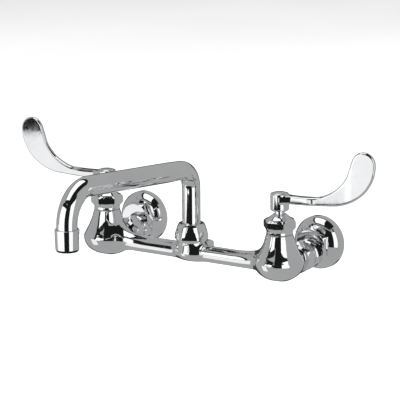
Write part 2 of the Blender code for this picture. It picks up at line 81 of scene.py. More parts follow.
# ---- outlines ----------------------------------------------------------------------------
def rounded(outline, radius, closed=False, steps=5):
    """Replace each corner of an outline by an arc; a third number in a point is its own radius."""
    count = len(outline)
    result = []
    for k, point in enumerate(outline):
        here = np.array(point[:2], float)
        if not closed and k in (0, count - 1):
            result.append(here)
            continue
        size = point[2] if len(point) > 2 else radius
        before = np.array(outline[k - 1][:2], float)
        after = np.array(outline[(k + 1) % count][:2], float)
        one = before - here
        two = after - here
        one_length = np.linalg.norm(one)
        two_length = np.linalg.norm(two)
        one /= one_length
        two /= two_length
        half = math.acos(float(np.clip(one @ two, -1, 1))) / 2
        reach = min(size / math.tan(half), 0.45 * one_length, 0.45 * two_length)
        if math.pi / 2 - half < math.radians(1.5) or reach < 0.01:
            result.append(here)
            continue
        size = reach * math.tan(half)
        middle = (one + two) / np.linalg.norm(one + two)
        centre = here + middle * size / math.sin(half)
        start = here + one * reach - centre
        end = here + two * reach - centre
        sweep = math.pi - 2 * half
        for j in range(steps + 1):
            share = j / steps
            turn = (math.sin((1 - share) * sweep) * start + math.sin(share * sweep) * end)
            result.append(centre + turn / math.sin(sweep))
    return [tuple(p) for p in result]


def spline(points, spacing):
    """A smooth curve through the points, as closely spaced points (centripetal Catmull-Rom)."""
    points = [np.array(p, float) for p in points]
    ends = [2 * points[0] - points[1]] + points + [2 * points[-1] - points[-2]]
    result = []
    for p0, p1, p2, p3 in zip(ends, ends[1:], ends[2:], ends[3:]):
        knots = [0.0]
        for a, b in ((p0, p1), (p1, p2), (p2, p3)):
            knots.append(knots[-1] + math.sqrt(np.linalg.norm(b - a)))
        t0, t1, t2, t3 = knots
        steps = max(2, int(np.linalg.norm(p2 - p1) / spacing))
        for t in np.linspace(t1, t2, steps, endpoint=False):
            a1 = (t1 - t) / (t1 - t0) * p0 + (t - t0) / (t1 - t0) * p1
            a2 = (t2 - t) / (t2 - t1) * p1 + (t - t1) / (t2 - t1) * p2
            a3 = (t3 - t) / (t3 - t2) * p2 + (t - t2) / (t3 - t2) * p3
            b1 = (t2 - t) / (t2 - t0) * a1 + (t - t0) / (t2 - t0) * a2
            b2 = (t3 - t) / (t3 - t1) * a2 + (t - t1) / (t3 - t1) * a3
            result.append((t2 - t) / (t2 - t1) * b1 + (t - t1) / (t2 - t1) * b2)
    result.append(points[-1])
    return [tuple(p) for p in result]


# ---- mesh makers -------------------------------------------------------------------------
# A turned shape is drawn along +Z, and this lays it along another axis.
ALONG = {
    "Z": Matrix.Identity(4),
    "-Y": Matrix.Rotation(math.radians(90), 4, "X"),
}
SHARP = math.radians(38)         # a steeper fold between faces stays a sharp edge
HEXAGON_STEPS = 192              # steps round a piece with a hexagon


def new_piece(name, shape, look, body, stands_for=()):
    """A bmesh becomes a piece that rides on a body and stands for CAD nodes."""
    bmesh.ops.recalc_face_normals(shape, faces=shape.faces)
    mesh = bpy.data.meshes.new(name)
    shape.to_mesh(mesh)
    shape.free()
    mesh.shade_smooth()
    mesh.set_sharp_from_angle(angle=SHARP)
    mesh.materials.append(look)
    piece = bpy.data.objects.new(name, mesh)
    bpy.context.scene.collection.objects.link(piece)
    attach(piece, body)
    if stands_for:
        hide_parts(*stands_for)
    return piece


def placed(shape, at, along="Z", turn=0.0):
    shape.transform(Matrix.Translation(Vector(at) * MM) @ ALONG[along]
                    @ Matrix.Rotation(math.radians(turn), 4, "Z"))
    return shape


def lathe(outline, steps=96, closed=False, hexagon=None, soft=0.3):
    """Spin (radius, height) points about +Z.

    hexagon is (across flats, turn): where the spun shape would pass its flats, it is cut to
    them, with edges rounded by soft."""
    shape = bmesh.new()
    rings = []
    for radius, height in outline:
        ring = []
        for k in range(steps):
            angle = math.tau * k / steps
            r = radius
            if hexagon and radius > 0:
                flats, turn = hexagon
                off = (math.degrees(angle) - turn) % 60 - 30
                limit = flats / 2 / math.cos(math.radians(off))
                h = max(soft - abs(r - limit), 0)
                r = min(r, limit) - h * h / (4 * soft)
            ring.append((r * MM * math.cos(angle), r * MM * math.sin(angle), height * MM))
        if radius < 1e-6:
            rings.append([shape.verts.new((0, 0, height * MM))] * steps)
        else:
            rings.append([shape.verts.new(p) for p in ring])
    pairs = list(zip(rings, rings[1:]))
    if closed:
        pairs.append((rings[-1], rings[0]))
    for near, far in pairs:
        for k in range(steps):
            corners = [near[k - 1], near[k], far[k], far[k - 1]]
            corners = list(dict.fromkeys(corners))
            if len(corners) > 2:
                shape.faces.new(corners)
    return shape


def swept(line, section_radius, across, steps=64):
    """A tube along a line; section_radius(k) is each ring's radius, across its constant side."""
    shape = bmesh.new()
    rings = []
    across = Vector(across)
    for k, place in enumerate(line):
        ahead = (Vector(line[min(k + 1, len(line) - 1)]) - Vector(line[max(k - 1, 0)])).normalized()
        over = ahead.cross(across)
        ring = []
        for s in range(steps):
            angle = math.tau * s / steps
            ring.append(shape.verts.new(
                (Vector(place) + section_radius(k) * (across * math.cos(angle)
                                                      + over * math.sin(angle))) * MM))
        rings.append(ring)
    for near, far in zip(rings, rings[1:]):
        for s in range(steps):
            shape.faces.new((near[s - 1], near[s], far[s], far[s - 1]))
    return shape, rings


def merged(*shapes):
    """Several bmeshes as one."""
    whole = shapes[0]
    for shape in shapes[1:]:
        spare = bpy.data.meshes.new("spare")
        shape.to_mesh(spare)
        shape.free()
        whole.from_mesh(spare)
        bpy.data.meshes.remove(spare)
    return whole


def blend_min(a, b, soft):
    """The smaller of two distances, with a fillet of about this size between them."""
    h = np.maximum(soft - np.abs(a - b), 0)
    return np.minimum(a, b) - h * h / (4 * soft)


def blend_max(a, b, soft):
    return -blend_min(-a, -b, soft)


def slope_of(field, points, step=0.02):
    gradient = np.empty_like(points)
    for axis in range(3):
        nudge = np.zeros(3)
        nudge[axis] = step
        gradient[:, axis] = (field(points + nudge) - field(points - nudge)) / (2 * step)
    return gradient


def surface_of(field, low, high, cell):
    """The surface where a field of (n, 3) points in mm is zero, as a bmesh of quads."""
    low = np.array(low, float)
    counts = np.ceil((np.array(high) - low) / cell).astype(int) + 1
    lines = [low[d] + cell * np.arange(counts[d]) for d in range(3)]
    grid = np.stack(np.meshgrid(*lines, indexing="ij"), -1)
    value = np.concatenate([field(part.reshape(-1, 3)) for part in grid]).reshape(counts)
    cells = counts - 1
    total = np.zeros((*cells, 3))
    hits = np.zeros(cells)
    quads = []
    for d in range(3):
        e, f = (d + 1) % 3, (d + 2) % 3
        lower = [slice(None)] * 3
        upper = [slice(None)] * 3
        lower[d], upper[d] = slice(None, -1), slice(1, None)
        a, b = value[tuple(lower)], value[tuple(upper)]
        cross = (a < 0) != (b < 0)
        share = np.where(cross, a / np.where(cross, a - b, 1), 0)
        place = grid[tuple(lower)] * cross[..., None]
        place[..., d] += share * cell
        for u, v in itertools.product((0, 1), repeat=2):
            part = [slice(None)] * 3
            part[e] = slice(u, u + cells[e])
            part[f] = slice(v, v + cells[f])
            total += place[tuple(part)]
            hits += cross[tuple(part)]
        at = np.argwhere(cross)
        at = at[(at[:, e] > 0) & (at[:, f] > 0) & (at[:, e] < cells[e]) & (at[:, f] < cells[f])]
        step_e, step_f = np.eye(3, dtype=int)[[e, f]]
        corners = np.stack([at - step_e - step_f, at - step_f, at, at - step_e], 1)
        outward = value[tuple(at.T)] < 0
        corners[~outward] = corners[~outward][:, ::-1]
        quads.append(corners)
    used = hits > 0
    number = np.full(cells, -1)
    number[used] = np.arange(used.sum())
    points = total[used] / hits[used][:, None]
    for _ in range(4):
        gradient = slope_of(field, points)
        distance = field(points)[:, None]
        points -= distance * gradient / np.maximum((gradient ** 2).sum(1), 0.05)[:, None]
    corners = np.concatenate(quads)
    faces = number[corners[..., 0], corners[..., 1], corners[..., 2]]
    mesh = bpy.data.meshes.new("spare")
    mesh.from_pydata((points * MM).tolist(), [], faces.tolist())
    shape = bmesh.new()
    shape.from_mesh(mesh)
    bpy.data.meshes.remove(mesh)
    return shape


# ---- distance fields ---------------------------------------------------------------------
def spun(points, origin, axis, curve):
    """Distance to a shape spun about an axis; curve is a list of (height, radius)."""
    offset = points - np.array(origin, float)
    height = offset[:, axis]
    others = [d for d in range(3) if d != axis]
    radius = np.hypot(offset[:, others[0]], offset[:, others[1]])
    line = np.array(curve, float)
    wanted = np.interp(height, line[:, 0], line[:, 1])
    slope = np.interp(height, line[:, 0], np.gradient(line[:, 1], line[:, 0]))
    return (radius - wanted) / np.sqrt(1 + slope ** 2)


def outline_distance(flat, outline):
    """Signed distance of 2-D points to a closed outline, negative inside."""
    starts = np.array(outline, float)
    ends = np.roll(starts, -1, axis=0)
    best = np.full(len(flat), 1e9)
    inside = np.zeros(len(flat), bool)
    for a, b in zip(starts, ends):
        edge = b - a
        to_point = flat - a
        share = np.clip(to_point @ edge / (edge @ edge), 0, 1)
        gap = to_point - share[:, None] * edge
        best = np.minimum(best, (gap ** 2).sum(1))
        if a[1] != b[1]:
            spans = (a[1] > flat[:, 1]) != (b[1] > flat[:, 1])
            crossing = a[0] + (flat[:, 1] - a[1]) * edge[0] / edge[1]
            inside ^= spans & (flat[:, 0] < crossing)
    distance = np.sqrt(best)
    return np.where(inside, -distance, distance)


# ---- materials ---------------------------------------------------------------------------
NOISE_LOW, NOISE_HIGH = 0.35, 0.65       # most of a noise's values lie between these
RAMP_LOW, RAMP_HIGH = 0.3, 0.7           # where a colour ramp begins and ends
GRAIN_DEPTH = 0.00001                    # depth of a relief, in metres
MOULD_DEPTH = 0.00002


class Finish:
    """A Principled material whose colour, roughness and relief vary over the surface."""

    def __init__(self, name, metallic):
        self.material = bpy.data.materials.new(name)
        self.material.use_nodes = True
        self.nodes = self.material.node_tree.nodes
        self.shader = self.nodes["Principled BSDF"]
        self.shader.inputs["Metallic"].default_value = metallic
        self.place = self.add("ShaderNodeTexCoord").outputs["Object"]

    def add(self, kind):
        return self.nodes.new(kind)

    def link(self, source, target):
        self.material.node_tree.links.new(source, target)

    def noise(self, scale, detail):
        """Noise whose scale is in repeats per metre."""
        texture = self.add("ShaderNodeTexNoise")
        texture.inputs["Scale"].default_value = scale
        texture.inputs["Detail"].default_value = detail
        self.link(self.place, texture.inputs["Vector"])
        return texture.outputs["Fac"]

    def colours(self, source, one, other):
        """Base colour that wanders between two colours."""
        ramp = self.add("ShaderNodeValToRGB")
        for element, place, colour in zip(ramp.color_ramp.elements, (RAMP_LOW, RAMP_HIGH),
                                          (one, other)):
            element.position = place
            element.color = (*colour, 1)
        self.link(source, ramp.inputs["Fac"])
        self.link(ramp.outputs["Color"], self.shader.inputs["Base Color"])

    def roughness(self, source, low, high):
        """Roughness from low to high over the middle range of a noise."""
        node = self.add("ShaderNodeMapRange")
        node.inputs["From Min"].default_value = NOISE_LOW
        node.inputs["From Max"].default_value = NOISE_HIGH
        node.inputs["To Min"].default_value = low
        node.inputs["To Max"].default_value = high
        self.link(source, node.inputs["Value"])
        self.link(node.outputs["Result"], self.shader.inputs["Roughness"])

    def relief(self, source, depth):
        """Bump whose depth is in metres."""
        bump = self.add("ShaderNodeBump")
        bump.inputs["Distance"].default_value = depth
        self.link(source, bump.inputs["Height"])
        self.link(bump.outputs["Normal"], self.shader.inputs["Normal"])


def chrome(name, waviness, low, high):
    """Bright plating: soft clouds of tone, a trace of handling haze and slow waves."""
    finish = Finish(name, 1.0)
    finish.colours(finish.noise(38, 4), (0.765, 0.778, 0.79), (0.83, 0.835, 0.84))
    finish.roughness(finish.noise(210, 6), low, high)
    finish.relief(finish.noise(95, 1), waviness)
    return finish.material


def plain_metal(name, dark, light, low, high):
    """Unplated metal with a fine grain."""
    finish = Finish(name, 1.0)
    grain = finish.noise(260, 5)
    finish.colours(grain, dark, light)
    finish.roughness(finish.noise(598, 4), low, high)
    finish.relief(grain, GRAIN_DEPTH)
    return finish.material


def moulded(name, dark, light, low, high):
    """Rubber, plastic or ceramic with the mould's fine texture."""
    finish = Finish(name, 0.0)
    finish.colours(finish.noise(160, 4), dark, light)
    finish.roughness(finish.noise(420, 3), low, high)
    finish.relief(finish.noise(2400, 2), MOULD_DEPTH)
    return finish.material


LOOKS = {
    "cast": chrome("chrome_on_casting", 0.000010, 0.035, 0.075),
    "turned": chrome("chrome_on_turned_brass", 0.000004, 0.03, 0.065),
    "tube": chrome("chrome_on_tube", 0.000006, 0.03, 0.07),
    "brass": plain_metal("brass", (0.55, 0.39, 0.17), (0.74, 0.57, 0.29), 0.22, 0.42),
    "steel": plain_metal("stainless_steel", (0.46, 0.46, 0.47), (0.64, 0.64, 0.65), 0.18, 0.36),
    "rubber": moulded("rubber", (0.012, 0.012, 0.013), (0.04, 0.04, 0.042), 0.5, 0.75),
    "ceramic": moulded("ceramic", (0.80, 0.80, 0.77), (0.90, 0.90, 0.88), 0.15, 0.3),
    "plastic": moulded("white_plastic", (0.70, 0.70, 0.67), (0.84, 0.84, 0.81), 0.3, 0.5),
    "button": chrome("button_face", 0.000004, 0.16, 0.26),
}
SLOT_LOOKS = {
    "chrome": "turned", "brass": "brass", "stainless_steel": "steel", "rubber": "rubber",
    "ceramic": "ceramic", "white_plastic": "plastic", "button_face": "button",
}
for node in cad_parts.values():
    slots = [m.name for m in node.data.materials if m]
    known = [LOOKS[SLOT_LOOKS[s]] for s in SLOT_LOOKS if slots and slots[0].startswith(s)]
    node.data.materials.clear()
    node.data.materials.append(known[0] if known else LOOKS["turned"])


# ---- valve body --------------------------------------------------------------------------
BAR_R = 8.0
FLARE_LIFT = 2.2
BELL_WAIST = 3.4                 # height of the bell's widest place
BELL_R = 23.7
BELL_DEPTH = 18.1                # from there down to the lowest point
BELL_TOP = 31.0
NECK_R = 11.0
CHAMBER_R = 9.6
BOSS_R = 12.2
BOSS_TOP = 24.0
ARM_R = 9.6
PAD_HALF = np.array((13.5, 10.75, 7.95))         # block behind the boss
PAD_LIFT = 1.45
PAD_ROUNDING = 3.2
BOSS_FOOT_R = 14.3               # the boss's rounded underside
BOSS_FOOT_DEPTH = 7.4
FLARE_END = 95.0
CHAMBER_FLOOR = -6.0
SOCKET_R = 10.8
SOCKET_FLOOR = 7.5
RING_SLOT = (36.7, 38.9)         # groove of the inlet snap ring, in front of the wall
RING_SLOT_R = 8.4

BELL_CURVE = spline([(-0.6, 22.2), (BELL_WAIST, BELL_R), (7.4, 22.2), (12.4, 19.6), (18.0, 17.0),
                     (22.4, 15.3), (26.8, 14.1), (32.0, 12.5)], 0.2)
FLARE_CURVE = spline([(50, 4.6), (58, 5.5), (66, 6.8), (72, 8.1), (77, 9.6), (81.5, 11.4), (86, 13.2),
                      (90, 14.0), (95, 14.2)], 0.3)
BOSS_CURVE = spline([(-4, 14.2), (-1, 14.4), (2, 13.9), (5, 12.9), (8, BOSS_R), (12, BOSS_R),
                     (26, BOSS_R)], 0.2)
ARM_CURVE = spline([(30, ARM_R), (36, ARM_R), (43.0, ARM_R), (46.2, 11.2), (50.5, 14.0),
                    (59.8, 15.5), (70, 15.5)], 0.3)


def bowl(points, origin, radius, depth, power):
    """Distance to the lower half of a rounded bowl."""
    offset = points - np.array(origin, float)
    across = np.hypot(offset[:, 0], offset[:, 1]) / radius
    down = np.abs(offset[:, 2]) / depth
    size = np.maximum((across ** power + down ** power) ** (1 / power), 1e-6)
    gradient = np.hypot((across / size) ** (power - 1) / radius, (down / size) ** (power - 1) / depth)
    return (size - 1) / np.maximum(gradient, 1e-6)


def capped(distance, points, axis, low, high, soft):
    """Cut a shape off square at both ends."""
    distance = blend_max(distance, points[:, axis] - high, soft)
    return blend_max(distance, low - points[:, axis], soft)


def body_field(points):
    """Distance to the casting; the right half is worked out and stands for both."""
    points = points.copy()
    points[:, 0] = np.abs(points[:, 0])
    bell_at = (VALVE_X, VALVE_Y, 0)
    bell = np.where(
        points[:, 2] > BELL_WAIST, spun(points, bell_at, 2, BELL_CURVE),
        bowl(points, (VALVE_X, VALVE_Y, BELL_WAIST), BELL_R, BELL_DEPTH, 2.15))
    bell = blend_max(bell, points[:, 2] - BELL_TOP, 0.6)
    bar = np.hypot(points[:, 1] - VALVE_Y, points[:, 2]) - BAR_R
    bar = np.maximum(bar, points[:, 0] - VALVE_X)
    flare = spun(points, (0, VALVE_Y, FLARE_LIFT), 0, FLARE_CURVE)
    flare = np.maximum(flare, points[:, 0] - FLARE_END)
    boss = np.where(points[:, 2] > 0, spun(points, (0, VALVE_Y, 0), 2, BOSS_CURVE),
                    bowl(points, (0, VALVE_Y, 0), BOSS_FOOT_R, BOSS_FOOT_DEPTH, 2.3))
    boss = blend_max(boss, points[:, 2] - BOSS_TOP, 0.5)
    pad_middle = np.array((0, VALVE_Y + PAD_HALF[1], PAD_LIFT))
    away = np.abs(points - pad_middle) - (PAD_HALF - PAD_ROUNDING)
    pad = np.linalg.norm(np.maximum(away, 0), axis=1) + np.minimum(away.max(1), 0) - PAD_ROUNDING
    front = points * (1, -1, 1)
    arm = spun(front, (VALVE_X, 0, 0), 1, ARM_CURVE)
    arm = capped(arm, front, 1, ARM_END, -VALVE_Y, 0.5)

    whole = blend_min(bar, flare, 3.0)
    whole = blend_min(whole, bell, 6.0)
    whole = blend_min(whole, boss, 7.0)
    whole = blend_min(whole, pad, 3.0)
    whole = blend_min(whole, arm, 4.0)

    valve_r = np.hypot(points[:, 0] - VALVE_X, points[:, 1] - VALVE_Y)
    neck = np.maximum(valve_r - NECK_R, points[:, 2] - NECK_TOP)
    neck = np.maximum(neck, -points[:, 2])
    whole = np.minimum(whole, neck)
    chamber = np.maximum(valve_r - CHAMBER_R, CHAMBER_FLOOR - points[:, 2])
    boss_r = np.hypot(points[:, 0], points[:, 1] - VALVE_Y)
    socket = np.maximum(boss_r - SOCKET_R, SOCKET_FLOOR - points[:, 2])
    arm_r = np.hypot(points[:, 0] - VALVE_X, points[:, 2])
    slot_low, slot_high = RING_SLOT
    in_slot = np.abs(front[:, 1] - (slot_low + slot_high) / 2) - (slot_high - slot_low) / 2
    ring_slot = np.maximum(in_slot, RING_SLOT_R - arm_r)
    for hollow in (chamber, socket, ring_slot):
        whole = np.maximum(whole, -hollow)
    return whole


BODY_CELL = 0.75
MARGIN = 2.0
body_shape = surface_of(body_field, BODY_LOW - MARGIN, BODY_HIGH + MARGIN, BODY_CELL)
new_piece("body_casting", body_shape, LOOKS["cast"], "body", ["valve_body"])


# ---- inlets ------------------------------------------------------------------------------
DOME = [(26.3, 3.6), (26.1, 6.2), (25.0, 8.8), (22.9, 11.2), (20.0, 13.1), (16.5, 14.4)]
BORE_R = 6.0                     # waterway
NIPPLE_R = 12.0
PIPE_ROOT_R, PIPE_CREST_R = 10.9, 10.2           # thread of the socket for the supply nipple
THREADS = 7
THREAD_PITCH = 1.9
FLANGE_HEX = 32.0
FLANGE_HEX_TURN = {"left": 0.0, "right": 30.0}
NUT_TURN = {"left": 15.0, "right": 30.0}
NUT_HEX = 28.8


def inlet(side, sign):
    """The eccentric flange, whose hexagon is on the pipe's axis and its nipple on the valve's."""
    wall_end = (FLANGE_CENTRE[side][0], 0, FLANGE_CENTRE[side][2])
    valve_end = (sign * VALVE_X, 0, 0)
    thread = []
    for k in range(THREADS):
        depth = 1.2 + k * THREAD_PITCH
        thread += [(PIPE_CREST_R, depth), (PIPE_ROOT_R, depth + THREAD_PITCH / 2)]
    back = rounded([(14.0, 0), (14.0, 5.6), (19.6, 5.6, 1.5), (22.5, 3.0, 1.5), (22.5, 0),
                    (26.3, 0, 0.6)], 0.4)
    socket = [(BORE_R, 15.0), (PIPE_CREST_R, 15.0)] + thread[::-1] + [(11.4, 0.0)]
    front = spline(DOME, 0.6) + [(NIPPLE_R, 14.6), (NIPPLE_R, 15.0)]
    plate = lathe(back + front + socket, closed=True)
    hexagon = lathe(
        rounded([(10.4, 14.2), (18.9, 9.5), (18.9, 17.6), (15.8, 20.5), (BORE_R + 0.1, 20.5),
                 (BORE_R + 0.1, 14.8)], 0.5),
        hexagon=(FLANGE_HEX, FLANGE_HEX_TURN[side]), steps=HEXAGON_STEPS, closed=True)
    collar = lathe(rounded(
        [(BORE_R, 14.4), (14.0, 14.4), (14.0, 24.0), (12.9, 25.2), (NIPPLE_R, 25.2), (NIPPLE_R, 33.0),
         (BORE_R, 33.0)], 0.5), closed=True)
    flange = merged(placed(plate, wall_end, "-Y"), placed(hexagon, wall_end, "-Y"),
                    placed(collar, valve_end, "-Y"))
    new_piece(side + "_flange", flange, LOOKS["turned"], "body", [side + "_inlet_flange"])
    nut = lathe(rounded(
        [(12.3, 29.6), (14.4, 29.6), (16.5, 31.8), (16.5, 39.4), (14.0, 41.6), (9.9, 41.6),
         (9.9, 39.2), (12.3, 39.2)], 0.45),
        hexagon=(NUT_HEX, NUT_TURN[side]), steps=HEXAGON_STEPS, closed=True)
    new_piece(side + "_union_nut", placed(nut, valve_end, "-Y"), LOOKS["turned"], "body",
              [side + "_coupling_nut"])


# ---- bonnet nuts, stems and handles ------------------------------------------------------
BONNET_HEX = 28.0
BONNET_TURN = {"left": 34.0, "right": 15.0}
STEM_R = 4.7
HUB_R = 8.9
BLADE_TIP = np.array((85.4, 105.1))
BLADE_TIP_R = 11.8
BLADE_EDGE = 1.9                 # rounding of the blade's edges
BLADE_TOP = [(0, 69.2), (13.1, 69.2), (30, 69.3), (42, 70.8), (54, 76.4), (62, 83.0), (68.4, 92.0),
             (71.6, 101.6)]
BLADE_LOW = [(0, 61.3), (13.1, 61.3), (33, 61.6), (48, 62.2), (62, 63.6), (76, 69.2), (88.2, 79.6),
             (95.7, 93.6)]
BLADE_THICK = [(13.1, 9.4), (30, 9.3), (38, 7.4), (48, 6.2), (62, 4.8), (76, 4.5), (100, 4.5)]
WEB_START = 3.5                  # the web leaves the hub here and reaches the arm's width at WEB_END
WEB_END, ARM_THICK = BLADE_THICK[0]
WEB_SLOPE = math.tan(math.radians(20))


def blade_outline():
    """The blade's closed outline in the plane of its length and height, round at the tip."""
    tip = [tuple(BLADE_TIP + BLADE_TIP_R * np.array((math.cos(t), math.sin(t))))
           for t in np.radians((150, 120, 90, 60, 30, 5))]
    return spline(BLADE_TOP + tip + BLADE_LOW[::-1], 1.0)


BLADE = blade_outline()
WEB_THICK = ARM_THICK + 2 * (WEB_END - WEB_START) * WEB_SLOPE
THICKNESS = np.array([(WEB_START, WEB_THICK)] + spline(BLADE_THICK, 0.5))
LEVER_CELL = 0.55
HUB_OUTLINE = rounded([(-6, HUB_LOW), (HUB_R - 1.5, HUB_LOW), (HUB_R, HUB_LOW + 1.5),
                       (HUB_R, HUB_TOP), (-6, HUB_TOP)], 0.75, steps=4)


def handle_field(points):
    """The hub on the Z axis with its blade along +X."""
    radius = np.hypot(points[:, 0], points[:, 1])
    hub = outline_distance(np.stack([radius, points[:, 2]], 1), HUB_OUTLINE)
    half = np.interp(points[:, 0], THICKNESS[:, 0], THICKNESS[:, 1]) / 2
    edge = np.minimum(BLADE_EDGE, half * 0.75)
    across = outline_distance(points[:, [0, 2]], BLADE) + edge
    through = np.abs(points[:, 1]) - half + edge
    blade = (np.hypot(np.maximum(across, 0), np.maximum(through, 0))
             + np.minimum(np.maximum(across, through), 0) - edge)
    blade = np.maximum(blade, WEB_START - 0.1 - points[:, 0])
    return blend_min(hub, blade, 1.0)


def carved(shape, cutter):
    """The shape with the cutter's room taken out of it."""
    objects = []
    for k, part in enumerate((shape, cutter)):
        mesh = bpy.data.meshes.new("carving_%d" % k)
        bmesh.ops.recalc_face_normals(part, faces=part.faces)
        part.to_mesh(mesh)
        part.free()
        objects.append(bpy.data.objects.new("carving_%d" % k, mesh))
        bpy.context.scene.collection.objects.link(objects[-1])
    step = objects[0].modifiers.new("Carve", "BOOLEAN")
    step.operation = "DIFFERENCE"
    step.solver = "EXACT"
    step.object = objects[1]
    done = bpy.data.meshes.new_from_object(
        objects[0].evaluated_get(bpy.context.evaluated_depsgraph_get()))
    result = bmesh.new()
    result.from_mesh(done)
    bpy.data.meshes.remove(done)
    for item in objects:
        mesh = item.data
        bpy.data.objects.remove(item)
        bpy.data.meshes.remove(mesh)
    return result


def handle_shape():
    """The lever, hollowed for the stem, the screw and the button."""
    shape = surface_of(handle_field, (-11, -11, HUB_LOW - 2), (100, 11, 119), LEVER_CELL)
    room = lathe(rounded(
        [(0, HUB_LOW - 1), (STEM_R + 0.3, HUB_LOW - 1), (STEM_R + 0.3, 63.6), (2.5, 63.6), (2.5, 66.4),
         (5.4, 66.4), (5.4, 69.3), (7.6, 69.3), (7.6, HUB_TOP + 1), (0, HUB_TOP + 1)], 0.15, steps=2))
    return carved(shape, room)


def valve_top(side, sign, shape):
    """Bonnet nut, lever, stem and button of one valve."""
    axis = (sign * VALVE_X, VALVE_Y, 0)
    body = side + "_valve"
    nut = lathe(rounded(
        [(11.3, 31.3), (12.9, 31.3), (12.6, 34.2, 1.5), (15.7, 37.4), (16.8, 38.6), (16.8, 43.4),
         (13.8, 45.3), (11.7, 46.0), (5.9, 50.6), (5.0, 50.6), (5.0, 48.4), (7.5, 48.4), (7.5, 43.8),
         (11.3, 43.8)], 0.4),
        hexagon=(BONNET_HEX, BONNET_TURN[side]), steps=HEXAGON_STEPS, closed=True)
    new_piece(side + "_bonnet", placed(nut, axis), LOOKS["turned"], "body", [side + "_bonnet_nut"])
    new_piece(side + "_lever", placed(shape, axis, turn=CLOSED_BLADE[side]), LOOKS["cast"], body,
              [side + "_handle"])
    stem = lathe(rounded([(0, 3), (6.7, 3), (6.7, 6), (4.7, 6), (4.7, 63.2), (2.3, 63.2), (2.3, 55),
                          (0, 54)], 0.2), steps=64)
    new_piece(side + "_spindle", placed(stem, axis), LOOKS["turned"], body, [side + "_stem"])
    button = lathe(rounded(
        [(0, 69.6), (7.3, 69.6), (7.3, 70.6, 0.3), (6.4, 71.2, 1), (3.4, 71.6, 3), (0, BUTTON_TOP)],
        0.3))
    new_piece(side + "_button", placed(button, axis), LOOKS["button"], body,
              [side + "_index_button"])


for side_name, side_sign in SIDES.items():
    inlet(side_name, side_sign)
lever = handle_shape()
valve_top("left", -1, lever.copy())
valve_top("right", 1, lever)


# ---- spout -------------------------------------------------------------------------------
RISE_Z = 82.8
OUTLET_TOP_Z = 99.2
TUBE_FOOT = cad_box("spout_tube")[0][2]
OUTLET_END = 52.5
TUBE_R = 9.0
RUN_R = 9.7
SWAGE = 45.0                     # the tube grows to its full radius over this reach
TUBE_WALL = 1.2
BEND_STEPS = 32
LINE_STEP = 3.0


def spout_line():
    """The spout's centre line from foot to outlet, as (forward, height) points."""
    climb = math.atan2(OUTLET_TOP_Z - RISE_Z, REACH)
    flat = [Vector((0, z)) for z in np.arange(TUBE_FOOT, 50, LINE_STEP)]
    bends = (((0, RISE_Z), math.pi / 2, climb, 20.0),
             ((REACH, OUTLET_TOP_Z), climb, -math.pi / 2, 31.0))
    for corner, start, end, radius in bends:
        reach = radius * math.tan(abs(end - start) / 2)
        begin = Vector(corner) - Vector((math.cos(start), math.sin(start))) * reach
        side = 1 if end > start else -1
        centre = begin + Vector((-math.sin(start), math.cos(start))) * radius * side
        last = flat[-1]
        steps = max(2, int((begin - last).length / LINE_STEP))
        flat += [last.lerp(begin, k / steps) for k in range(1, steps)]
        for k in range(BEND_STEPS + 1):
            heading = start + (end - start) * k / BEND_STEPS
            flat.append(centre + Vector((math.sin(heading), -math.cos(heading))) * radius * side)
    last = flat[-1]
    foot = Vector((REACH, OUTLET_END))
    flat += [last.lerp(foot, k / 6) for k in range(1, 7)]
    return flat


def spout_tube():
    flat = spout_line()
    line = [Vector((0, VALVE_Y - forward, height)) for forward, height in flat]

    def outer(k):
        share = min(1.0, flat[k][0] / SWAGE)
        return TUBE_R + (RUN_R - TUBE_R) * share * share * (3 - 2 * share)

    outside, outer_rings = swept(line, outer, (1, 0, 0), 96)
    inside, inner_rings = swept(line, lambda k: outer(k) - TUBE_WALL, (1, 0, 0), 96)
    ends = [[[v.co.copy() for v in rings[e]] for rings in (outer_rings, inner_rings)] for e in (0, -1)]
    whole = merged(outside, inside)
    for outer_end, inner_end in ends:
        rim = [[whole.verts.new(co) for co in ring] for ring in (outer_end, inner_end)]
        for s in range(len(rim[0])):
            whole.faces.new((rim[0][s - 1], rim[0][s], rim[1][s], rim[1][s - 1]))
    bmesh.ops.remove_doubles(whole, verts=whole.verts, dist=0.001 * MM)
    new_piece("spout_pipe", whole, LOOKS["tube"], "spout", ["spout_tube"])


spout_tube()
axis = (0, VALVE_Y, 0)
outlet = (0, OUTLET_Y, 0)
spout_nut = lathe(rounded(
    [(12.5, 11.0), (14.6, 11.0), (16.9, 13.9), (16.6, 17.0, 4), (15.3, 21.8, 6), (13.7, 26.5, 2),
     (12.4, 28.9), (9.4, 28.9), (9.4, 25.7), (12.5, 25.7)], 0.45),
    hexagon=(30.6, 29.0), soft=2.0, steps=HEXAGON_STEPS, closed=True)
new_piece("spout_gland_nut", placed(spout_nut, axis), LOOKS["turned"], "body", ["spout_nut"])
shell = lathe(rounded(
    [(10.0, 63.0), (11.4, 63.0), (11.35, 61.8, 0.3), (10.9, 44.7), (9.9, 42.5), (8.6, 42.5),
     (8.6, 44.0), (10.0, 44.0)], 0.5), closed=True)
new_piece("aerator_sleeve", placed(shell, outlet), LOOKS["turned"], "spout", ["aerator_shell"])


# ---- stage: camera, floor, cards and lights ------------------------------------------------
CAMERA_TURN = 34.182             # degrees the camera stands to the right of the wall's normal
CAMERA_RISE = 13.514
CAMERA_ROLL = -0.476
CAMERA_FAR = 2.282
CAMERA_TARGET = Vector((0, -0.068, 0.020))
CAMERA_LENS = 209.9
CAMERA_SHIFT = (0.0159, 0.0768)  # the object stands low and left of the middle


